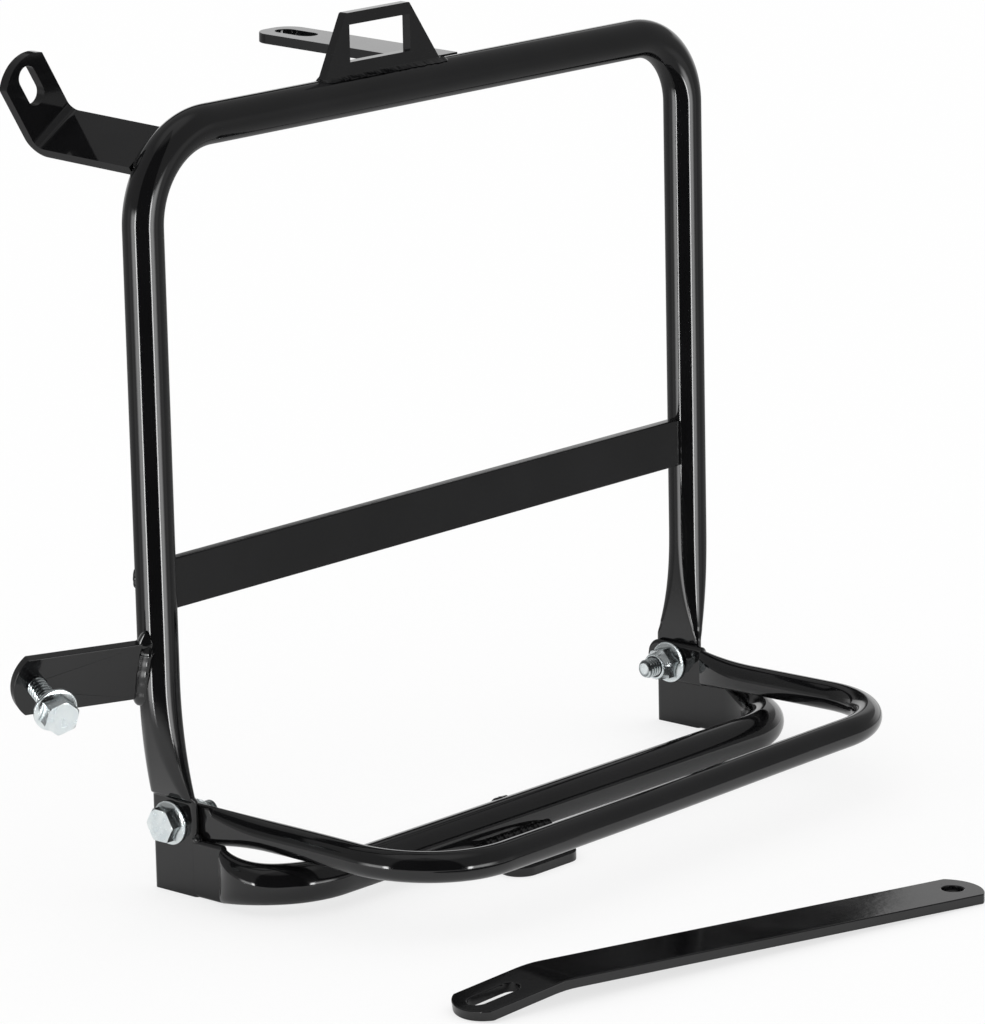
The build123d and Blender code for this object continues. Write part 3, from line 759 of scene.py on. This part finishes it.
@dataclass(frozen=True)
class HexFlange:
    """Sizes of the 8 mm flange hardware, in mm, and the rows of points along each of its forms."""

    flats: float = 12.6
    flange_r: float = 8.8
    rim: float = 1.2
    rise: float = 1.3
    dish_power: float = 1.6
    rounding: float = 0.3
    crown: float = 0.4
    wall_stop: float = 0.75
    turned: float = 0.68
    turned_slope: float = 2.0
    thread_r: float = 4.0
    thread_depth: float = 0.8
    # Strength and reach of the painted shade in the corner where the hexagon meets the dish.
    painted_shade: float = 0.8
    painted_shade_reach: float = 0.3
    crease: float = 28.0
    columns: int = 72
    rim_rows: int = 9
    dish_rows: int = 14
    wall_rows: int = 5
    turned_rows: int = 12

    def turn(self) -> np.ndarray:
        """Angles of the columns round the axis."""
        return np.arange(self.columns) * (2 * np.pi / self.columns)

    def rows(self, height: float) -> tuple[np.ndarray, np.ndarray, np.ndarray]:
        """Rows from the seat to the top of the hexagon.

        The rim is rounded above and below, the dish rises with a power of the way in, and the hexagon's
        corners are turned off at a slope.

        Args:
            height: height of the hexagon.

        Returns:
            Heights, least radii (the flange) and greatest radii (the turned corners) of the rows.
        """
        curl = np.radians(np.linspace(-90, 90, self.rim_rows))
        rim_z = np.where(curl < 0, self.rounding, self.rim - self.rounding) + self.rounding * np.sin(curl)
        rim_r = self.flange_r - self.rounding * (1 - np.cos(curl))
        inward = np.linspace(0, 1, self.dish_rows)[1:]
        dish_z = self.rim + self.rise * inward ** self.dish_power
        dish_r = rim_r[-1] + (self.flats / 2 - rim_r[-1]) * inward
        wall_z = np.linspace(dish_z[-1], height - self.wall_stop, self.wall_rows)[1:]
        turned_z = np.linspace(height - self.turned, height, self.turned_rows)
        z = np.concatenate((rim_z, dish_z, wall_z, turned_z))
        least = np.concatenate((rim_r, dish_r, np.zeros(wall_z.size + turned_z.size)))
        most = self.flats / 2 + self.crown + self.turned_slope * (height - z)
        most[: rim_z.size] = 0
        return z, least, most

    def radii(self, least: np.ndarray, most: np.ndarray, corner: float) -> np.ndarray:
        """Radius over rows and columns: the hexagon, kept between each row's least and greatest radius.

        A flat lies at half the flats over the cosine of the angle from its middle.

        Args:
            least: least radii of the rows.
            most: greatest radii of the rows.
            corner: turn of a corner from the line across, in degrees.

        Returns:
            The radii.
        """
        sixth = np.pi / 3
        off = np.mod(self.turn() - math.radians(corner), sixth) - sixth / 2
        hexagon = self.flats / 2 / np.cos(off)
        return np.maximum(least[:, None], np.minimum(hexagon[None, :], most[:, None]))

    def foot(self, least: np.ndarray, corner: float) -> np.ndarray:
        """Painted shade in the corner between dish and hexagon: a bell over the gap between their radii.

        Args:
            least: radii of the flange's rows.
            corner: turn of a corner from the line across, in degrees.

        Returns:
            Painted shade, from 0 to its strength, over rows and columns.
        """
        gap = self.radii(np.zeros(1), np.full(1, self.flange_r), corner) - least[:, None]
        return self.painted_shade * np.exp(-((gap / self.painted_shade_reach) ** 2))

    def points(self, z: np.ndarray, radius: np.ndarray) -> np.ndarray:
        """Points round the axis from heights and radii.

        Args:
            z: heights of the rows.
            radius: radii over rows and columns.

        Returns:
            The points, rows by columns by three.
        """
        turn = self.turn()
        high = np.broadcast_to(z[:, None], radius.shape)
        return np.stack((radius * np.cos(turn), radius * np.sin(turn), high), axis=-1)


@dataclass
class FlangeBolt:
    """Hexagon flange bolt with a cut thread, in mm."""

    name: str
    seat: Seat
    head: float
    shank: float
    corner: float
    pitch: float = 1.5
    crest: float = 0.15
    flank: float = 0.6
    runout: float = 1.5
    tip: float = 1.3
    dip: float = 0.12
    crown_gap: float = 0.05
    # Painted shade in the thread's roots, per share of the cut.
    thread_shade: float = 1.3
    turn_rows: int = 9
    crown_rows: int = 7
    tip_rows: tuple = (0.6, 0.3, 0.0)
    sizes: HexFlange = field(default_factory=HexFlange)

    def thread(self) -> tuple[np.ndarray, np.ndarray, np.ndarray]:
        """Shank under the head.

        The radius falls from crest to root with a clipped triangle of the height in turns less the turn
        round the axis; the tip is turned off at 45 degrees.

        Returns:
            Heights of the rows, then radii and painted shade in the thread's roots over rows and columns.
        """
        size = self.sizes
        z = -np.linspace(0, self.shank, int(self.shank / self.pitch * self.turn_rows))
        phase = np.mod(z[:, None] / self.pitch - size.turn()[None, :] / (2 * np.pi), 1)
        cut = np.clip((np.abs(2 * phase - 1) - self.crest) / self.flank, 0, 1)
        start = np.clip(-z / self.runout, 0, 1)[:, None]
        radius = size.thread_r - size.thread_depth * cut * start
        end = size.thread_r - self.tip + (z + self.shank)
        # The painted shade darkens the roots as the cut deepens and fades in with the thread.
        return z, np.minimum(radius, end[:, None]), np.clip(self.thread_shade * cut, 0, 1) * start

    def build(self, origin: np.ndarray) -> bpy.types.Object:
        """Makes the bolt as one grid from the middle of its head round to the middle of its tip.

        Args:
            origin: middle of the legs, in metres.

        Returns:
            The bolt.
        """
        size = self.sizes
        z, least, most = size.rows(self.head)
        inward = np.linspace(0, 1, self.crown_rows)
        crown_z = self.head - self.dip * (1 - inward ** 2)
        crown_r = inward * (size.flats / 2 - self.crown_gap)
        shank_z, shank_r, cut = self.thread()
        ones = np.ones((1, size.columns))
        inset = np.array(self.tip_rows)
        heights = np.concatenate((crown_z, z[::-1], shank_z, np.full(inset.size, -self.shank)))
        radii = np.concatenate((
            crown_r[:, None] * ones,
            size.radii(least, most, self.corner)[::-1],
            shank_r,
            inset[:, None] * shank_r[-1][None, :],
        ))
        # Painted shade: none on the crown, in the corner under the hexagon, in the thread's roots, none on
        # the tip.
        shade_amount = np.concatenate((
            np.zeros((inward.size, size.columns)),
            size.foot(least, self.corner)[::-1],
            cut,
            np.zeros((inset.size, size.columns)),
        ))
        grid = self.seat.carried(size.points(heights, radii), origin)
        return skinned(self.name, [grid], False, size.crease, shade_amount)


@dataclass
class FlangeNut:
    """Hexagon flange nut whose collar holds a locking ring, in mm."""

    name: str
    seat: Seat
    hexagon: float = 6.8
    top: float = 10.4
    collar_r: float = 5.6
    collar_wall: float = 0.9
    collar_foot: float = 0.4
    lip_flat: float = 0.15
    lip_rows: int = 7
    recess: float = 1.8
    bore_play: float = 0.05
    bore_chamfer: float = 0.6
    sizes: HexFlange = field(default_factory=HexFlange)

    def build(self, origin: np.ndarray) -> bpy.types.Object:
        """Makes the nut as one ring: flange, hexagon, rounded collar, its recess and the bore.

        Args:
            origin: middle of the legs, in metres.

        Returns:
            The nut.
        """
        size = self.sizes
        z, least, most = size.rows(self.hexagon)
        least = np.where(z > self.hexagon - self.collar_foot, self.collar_r, least)
        curl = np.radians(np.linspace(0, 90, self.lip_rows))
        lip = self.collar_wall - self.lip_flat
        lip_z = self.top - lip + lip * np.sin(curl)
        lip_r = self.collar_r - lip * (1 - np.cos(curl))
        bore = size.thread_r + self.bore_play
        inner = self.collar_r - self.collar_wall
        floor = self.top - self.recess
        inside = np.array([
            (self.top, inner), (floor, inner), (floor, bore),
            (self.bore_chamfer, bore), (0.0, bore + self.bore_chamfer),
        ])
        heights = np.concatenate((z, lip_z, inside[:, 0]))
        ones = np.ones((1, size.columns))
        radii = np.concatenate((
            size.radii(least, most, 0.0), lip_r[:, None] * ones, inside[:, 1][:, None] * ones,
        ))
        # Painted shade in the corner under the hexagon, growing down the collar's inner wall and full on the
        # recess floor and in the bore.
        shade_amount = np.zeros(radii.shape)
        shade_amount[: z.size] = size.foot(least, 0.0)
        shade_amount[z.size + lip_z.size + 1 :] = 1.0
        grid = self.seat.carried(size.points(heights, radii), origin)
        return skinned(self.name, [grid], True, size.crease, shade_amount)


@dataclass(frozen=True)
class LowStrap:
    """The leaning strap on the left leg, in mm and degrees about the middle of the legs."""

    foot: tuple = (-158.0, 0, 92.4)
    heading: float = 22.0
    lean: float = 14.5

    def ways(self) -> tuple[np.ndarray, np.ndarray, np.ndarray, np.ndarray]:
        """Ways along the strap, level to its front, square out of its front, and up its width."""
        turn, lean = math.radians(self.heading), math.radians(self.lean)
        along = np.array((-math.cos(turn), math.sin(turn), 0))
        front = np.array((-math.sin(turn), -math.cos(turn), 0))
        lift = np.array((0, 0, 1))
        normal = front * math.cos(lean) - lift * math.sin(lean)
        return along, front, normal, front * math.sin(lean) + lift * math.cos(lean)


@dataclass
class Fasteners:
    """The two pivots' bolts and nuts, and the bolt in the lower side strap."""

    pivot_y: float = 1.5
    pivot_z: float = 28.2
    plate_x: float = 153.0
    nut_x: float = 146.55
    nut_across: tuple = (0, -0.3, 1)
    pivot_head: float = 6.4
    pivot_shank: float = 23.2
    pivot_corner: float = 30.0
    strap: LowStrap = LowStrap()
    strap_hole: float = 51.0
    strap_head: float = 8.0
    strap_shank: float = 26.0
    strap_stand: float = 20.2
    strap_corner: float = 20.0
    strap_pitch: float = 2.1

    def strap_seat(self) -> Seat:
        """Seat of the half turned-in bolt: out from the strap's hole along the strap's leaning normal."""
        along, _, normal, _ = self.strap.ways()
        hole = np.array(self.strap.foot) + along * self.strap_hole
        return Seat(tuple(hole + normal * self.strap_stand), tuple(normal), tuple(along))

    def build(self, origin: np.ndarray, finish: Material) -> None:
        """Makes every bolt and nut.

        Args:
            origin: middle of the legs, in metres.
            finish: the plating.
        """
        for hand in Hand:
            side, word = hand.value, hand.name.lower()
            head = Seat((side * self.plate_x, self.pivot_y, self.pivot_z), (side, 0, 0), (0, 0, 1))
            seat = Seat((side * self.nut_x, self.pivot_y, self.pivot_z), (-side, 0, 0), self.nut_across)
            sizes = self.pivot_head, self.pivot_shank, self.pivot_corner
            bolt = FlangeBolt(f"flange_bolt_{word}", head, *sizes)
            nut = FlangeNut(f"flange_nut_{word}", seat)
            dressed(bolt.build(origin), (f"pivot_bolt_{word}",), finish)
            dressed(nut.build(origin), (f"pivot_nut_{word}",), finish)
        sizes = self.strap_head, self.strap_shank, self.strap_corner, self.strap_pitch
        loose = FlangeBolt("strap_bolt", self.strap_seat(), *sizes)
        dressed(loose.build(origin), ("bracket_bolt",), finish)


@dataclass(frozen=True)
class Bead:
    """Section of a run of weld: its legs on the two pieces in mm, its fullness, ripples and wander."""

    leg: float
    other: float
    fullness: float = 1.6
    ripple: float = 0.07
    pitch: float = 2.0
    wander: float = 0.06


@dataclass(frozen=True)
class WeldRun:
    """One run of weld along a line of points in mm, and the ways that its legs lie on the two pieces."""

    line: np.ndarray
    leg_way: np.ndarray
    other_way: np.ndarray
    bead: Bead
    columns: int = 28
    ripple_rows: int = 9
    spare_rows: int = 24
    crowding: float = 0.3
    drifts: tuple = ((0.61, 0.4), (1.37, 2.1))
    ripple_bow: float = 1.1

    def grid(self) -> np.ndarray:
        """Points of the run.

        Round the run its two legs are stretched by the cosine and the sine of an angle, each to the power
        of 2 over the fullness: 2 gives a round bead, 1 a flat fillet and less a hollow one. Along it, a
        cosine swells the section with each ripple, two slower sines let it wander, and within one leg of
        an end it draws in along a quarter circle.

        Returns:
            The points in mm, rows by columns by three.
        """
        bead = self.bead
        steps = np.linalg.norm(np.diff(self.line, axis=0), axis=1)
        reach = np.concatenate(([0.0], np.cumsum(steps)))
        long = reach[-1]
        even = np.linspace(0, 1, int(long / bead.pitch * self.ripple_rows) + self.spare_rows)
        run = long * ((1 - self.crowding) * even + self.crowding * (1 - np.cos(np.pi * even)) / 2)
        middle = np.stack([np.interp(run, reach, self.line[:, axis]) for axis in range(3)], axis=-1)
        leg, other = bead.leg * np.array(self.leg_way), bead.other * np.array(self.other_way)
        draw = max(np.linalg.norm(leg), np.linalg.norm(other))
        near = np.clip(np.minimum(run, long - run) / draw, 0, 1)
        drift = sum(np.sin(rate * run + start) for rate, start in self.drifts)
        swell = np.sqrt(1 - (1 - near) ** 2) * (1 + bead.wander * drift)
        angle = np.arange(self.columns) * (2 * np.pi / self.columns)
        wave = 2 * np.pi * run[:, None] / bead.pitch + self.ripple_bow * np.cos(2 * angle)[None, :]
        swell = swell[:, None] * (1 + bead.ripple * np.cos(wave))
        power = 2 / bead.fullness
        first = np.sign(np.cos(angle)) * np.abs(np.cos(angle)) ** power
        second = np.sign(np.sin(angle)) * np.abs(np.sin(angle)) ** power
        section = first[:, None] * leg + second[:, None] * other
        return middle[:, None, :] + swell[:, :, None] * section[None, :, :]


@dataclass
class WeldWork:
    """The welds, each run in the corner between its two pieces, in mm about the middle of the legs.

    A face is 1 or -1: behind or before, over or under. The fields named runs, faces and edges give for each
    run its face, then how far it goes or is inset at its ends, and its section.
    """

    leg_x: float = 158.0
    tube_r: float = 8.0
    top_z: float = 299.5
    strap_half: float = 2.0
    strip_z: tuple = (114.2, 134.2)
    strip_half: float = 2.5
    strip_runs: tuple = ((1, 0.6, Bead(2.4, 2.6)), (-1, 0.3, Bead(0.6, 0.7, 1.0, 0.03)))
    lump: Bead = Bead(1.0, 1.0, 2.0, 0.03)
    lump_z: tuple = (123.8, 131.6)
    lump_out: tuple = (-0.675, 0.738, 0)
    lump_depth: float = 0.5
    lump_ways: tuple = ((-0.8, 0.88, 0), (1.3, 1.2, 0))
    hook_x: float = -25.5
    hook_half: float = 33.0
    hook_face: float = 2.0
    hook_runs: tuple = (
        (-1, (-0.6, 3.5), Bead(1.0, 2.4, 0.9, 0.03, 3.1, 0.05)), (1, (-0.4, -0.5), Bead(1.6, 1.9, 1.4))
    )
    centre_x: float = 12.5
    centre_half: float = 11.25
    centre_past: float = 0.5
    centre_way: tuple = (0, 1, 0.025)
    centre_bead: Bead = Bead(2.4, 2.5)
    corner_r: float = 35.5
    side_tilt: float = 33.2
    side_shift: float = -6.2
    side_lift: float = 1.7
    side_half: float = 11.1
    side_runs: tuple = ((1, Bead(0.8, 0.8, 0.95, 0.04)), (-1, Bead(1.8, 1.8, 1.5, 0.04)))
    low_strap: LowStrap = LowStrap()
    low_skews: tuple = (0.25, 0.1)
    low_faces: tuple = (
        (1, (-15.0, 11.0), Bead(2.2, 4.0, 1.5, 0.004, 5.2, 0.022)),
        (-1, (-12.5, 12.5), Bead(2.4, 2.6, 1.5, 0.05, 2.6)),
    )
    low_across: tuple = (-1.3, 1.8)
    low_edges: tuple = (
        (1, 11.2, Bead(2.8, 6.2, 1.15, 0.01, 4.0, 0.03)), (-1, 11.6, Bead(2.2, 3.8, 1.8, 0.01, 4.0, 0.03))
    )
    base_y: float = -60.3
    base_z: float = 11.71
    tab_z: float = 4.6
    tab_off: float = 6.0
    tab_runs: tuple = ((-1, (-49.0, -7.0), Bead(3.4, 3.8, 1.9)), (1, (-37.0, 0.5), Bead(3.2, 3.4, 1.8)))
    tack: Bead = Bead(1.0, 1.0, 2.0, 0.04)
    tack_x: tuple = (-30.5, -22.0)
    tack_off: tuple = (3.9, 6.7)
    tack_ways: tuple = ((0, 0.45, 0.9), (0, 1.6, -0.8))
    plate_x: tuple = (150.0, 153.0)
    plate_edge: float = 11.74
    plate_top: float = 23.45
    plate_past: tuple = (-0.7, 0.7)
    plate_bead: Bead = Bead(2.1, 2.1, 1.3, 0.05)
    points: int = 15
    edge_points: int = 11
    bend_points: int = 21
    crease: float = 60.0

    def strip(self) -> list[WeldRun]:
        """Full beads behind the cross strip's ends, hairline fillets before them, and a burnt lump."""
        runs = []
        low, high = self.strip_z
        reach = math.sqrt(self.tube_r ** 2 - self.strip_half ** 2)
        for hand in Hand:
            x = hand.value * (self.leg_x - reach)
            for face, inset, bead in self.strip_runs:
                line = np.array([(x, face * self.strip_half, z) for z in (low + inset, high - inset)])
                slope = np.array((hand.value * self.strip_half, face * reach, 0)) / self.tube_r
                runs.append(WeldRun(line, (-hand.value, 0, 0), slope, bead))
        middle = np.array(self.lump_out) * (self.tube_r - self.lump_depth) - np.array((self.leg_x, 0, 0))
        line = middle + np.array([(0, 0, z) for z in self.lump_z])
        return runs + [WeldRun(line, *self.lump_ways, self.lump)]

    def hook(self) -> list[WeldRun]:
        """Hollow fillet along the front of the hook's foot, run out to its right, and a short one behind."""
        z = self.top_z + math.sqrt(self.tube_r ** 2 - self.hook_face ** 2)
        tilt = self.hook_face / self.tube_r
        flat = math.sqrt(1 - tilt ** 2)
        left = self.hook_x - self.hook_half
        stops = (self.hook_x + self.hook_half, self.centre_x - self.centre_half)
        runs = []
        for stop, (face, past, bead) in zip(stops, self.hook_runs):
            line = np.array([(x, face * self.hook_face, z) for x in (left + past[0], stop + past[1])])
            runs.append(WeldRun(line, (0, 0, 1), (0, face * flat, -tilt), bead))
        return runs

    def centre(self) -> list[WeldRun]:
        """Bead across the underside of the centre strap, where it leaves the back of the top tube."""
        drop = self.tube_r - 2 * self.strap_half
        y = math.sqrt(self.tube_r ** 2 - drop ** 2)
        half = self.centre_half + self.centre_past
        line = np.array([(self.centre_x + x, y, self.top_z + drop) for x in (-half, half)])
        return [WeldRun(line, self.centre_way, np.array((0, drop, -y)) / self.tube_r, self.centre_bead)]

    def side(self) -> list[WeldRun]:
        """Fillets along both faces of the side strap, where each face meets the round of the bend.

        A point of the face at a distance from the bend's middle lies that much less the bend's radius from
        the tube's axis, and the tube's circle gives how far back it is.
        """
        tilt = math.radians(self.side_tilt)
        out = np.array((-math.sin(tilt), 0, math.cos(tilt)))
        across = np.array((math.cos(tilt), 0, math.sin(tilt)))
        behind = np.array((0, 1, 0))
        middle = np.array((self.corner_r - self.leg_x, 0, self.top_z - self.corner_r))
        place = self.side_shift + np.linspace(-self.side_half, self.side_half, self.bend_points)
        runs = []
        for face, bead in self.side_runs:
            rise = self.corner_r + self.side_lift + face * self.strap_half
            radial = np.hypot(rise, place) - self.corner_r
            back = np.sqrt(self.tube_r ** 2 - radial ** 2)
            line = middle + rise * out + place[:, None] * across + back[:, None] * behind
            runs.append(WeldRun(line, behind, face * out, bead))
        return runs

    def low(self) -> list[WeldRun]:
        """Smooth fillets down both faces of the low strap, a hollow fan over its top edge, a lobe below."""
        along, front, normal, wide = self.low_strap.ways()
        lean = math.radians(self.low_strap.lean)
        origin = np.array(self.low_strap.foot)

        def corner_line(face: np.ndarray, place: np.ndarray) -> np.ndarray:
            """Points where strap meets leg, from the side of its middle and the height along its width."""
            offset = face * self.strap_half * math.cos(lean) + place * math.sin(lean)
            reach = np.sqrt(self.tube_r ** 2 - offset ** 2)
            skew = face[:, None] * self.strap_half * normal
            return origin + reach[:, None] * along + skew + place[:, None] * wide

        runs = []
        for skew, (face, span, bead) in zip(self.low_skews, self.low_faces):
            line = corner_line(np.full(self.points, face), np.linspace(*span, self.points))
            runs.append(WeldRun(line, along, face * front - along * skew, bead))
        across = np.linspace(*self.low_across, self.edge_points)
        for face, place, bead in self.low_edges:
            line = corner_line(across, np.full(self.edge_points, face * place))
            runs.append(WeldRun(line, along, face * wide, bead))
        return runs

    def tab(self) -> list[WeldRun]:
        """Long beads in the wedges before and behind the tube on the tab, and a tack on the tube's back."""
        runs = []
        for face, span, bead in self.tab_runs:
            line = np.array([(x, self.base_y + face * self.tab_off, self.tab_z) for x in span])
            runs.append(WeldRun(line, (0, face, 0), (0, 0, 1), bead))
        back, rise = self.tack_off
        line = np.array([(x, self.base_y + back, self.base_z + rise) for x in self.tack_x])
        return runs + [WeldRun(line, *self.tack_ways, self.tack)]

    def corner(self) -> list[WeldRun]:
        """Short beads in the inner corners where the foot bow's flats meet the legs' flats."""
        runs = []
        for hand in Hand:
            ends = [hand.value * (x + past) for x, past in zip(self.plate_x, self.plate_past)]
            line = np.array([(x, -self.plate_edge, self.plate_top) for x in ends])
            runs.append(WeldRun(line, (0, -1, 0), (0, 0, 1), self.plate_bead))
        return runs

    def build(self, origin: np.ndarray, finish: Material) -> None:
        """Makes one piece for the welds of each joint.

        Args:
            origin: middle of the legs, in metres.
            finish: the enamel over the welds.
        """
        work = (
            ("strip_weld_runs", "strip_welds", self.strip()),
            ("hook_weld_runs", "hook_welds", self.hook()),
            ("centre_weld_run", "centre_bracket_weld", self.centre()),
            ("side_weld_runs", "side_bracket_welds", self.side()),
            ("low_weld_runs", "low_bracket_welds", self.low()),
            ("tab_weld_runs", "tab_welds", self.tab()),
            ("corner_weld_runs", "corner_welds", self.corner()),
        )
        for name, node, runs in work:
            grids = [origin + run.grid() * MM for run in runs]
            dressed(skinned(name, grids, False, self.crease), (node,), finish)


@dataclass
class SteelWork:
    """The welded and bent steel pieces, which keep the solids' shapes and get softened, painted edges."""

    edge: float = 0.5 * MM
    edge_steps: int = 3
    crease: float = 32.0
    same_flat: float = 1.2
    merge: float = 0.002 * MM
    flat: tuple = (
        "cross_strip", "bag_hook", "upper_centre_bracket", "upper_side_bracket",
        "lower_side_bracket", "base_tab", "support_strut",
    )
    bright: tuple = ("pivot_", "nut_", "bracket_bolt")

    def soften(self, node: bpy.types.Object) -> None:
        """Rounds the sharp edges as paint does, and keeps the flats flat.

        Args:
            node: the piece.
        """
        weld = node.modifiers.new("closed", "WELD")
        weld.merge_threshold = self.merge
        bevel = node.modifiers.new("edges", "BEVEL")
        bevel.width = self.edge
        bevel.segments = self.edge_steps
        bevel.limit_method = "ANGLE"
        bevel.angle_limit = math.radians(self.crease)
        bevel.harden_normals = False
        plain = node.modifiers.new("plain", "DECIMATE")
        plain.decimate_type = "DISSOLVE"
        plain.angle_limit = math.radians(self.same_flat)
        flats = node.modifiers.new("flats", "WEIGHTED_NORMAL")
        flats.keep_sharp = False

    def dress(self, nodes: dict, paint: Material) -> None:
        """Paints every steel piece and softens the flat ones.

        Args:
            nodes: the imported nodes.
            paint: the enamel.
        """
        for name, node in nodes.items():
            if name.startswith(self.bright):
                continue
            node.data.materials.clear()
            node.data.materials.append(paint)
            if name in self.flat:
                self.soften(node)
            log.info("painted %s", name)


def main() -> None:
    """Builds the pieces in order, sets the studio and reports each piece."""
    logging.basicConfig(level=logging.INFO)
    bpy.context.scene.view_settings.view_transform = "Standard"
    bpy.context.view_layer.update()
    nodes = frame["nodes"]
    strip_low, strip_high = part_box("cross_strip")
    origin = Vector(((strip_low.x + strip_high.x) / 2, (strip_low.y + strip_high.y) / 2, 0))
    studio = Studio()
    studio.camera(origin)
    studio.floor()
    studio.world()
    enamel, zinc, nylon = (finish.material() for finish in (STOVE_ENAMEL, ZINC_PLATE, NYLON_PAINTED_SHADE))
    SteelWork().dress(nodes, enamel)
    middle = np.array(origin)
    Bows().build(middle, enamel)
    Fasteners().build(middle, zinc)
    WeldWork().build(middle, enamel)
    for hand in Hand:
        ring = nodes[f"nut_ring_{hand.name.lower()}"]
        ring.data.materials.clear()
        ring.data.materials.append(nylon)
        log.info("dressed %s", ring.name)


if __name__ == "__main__":
    main()
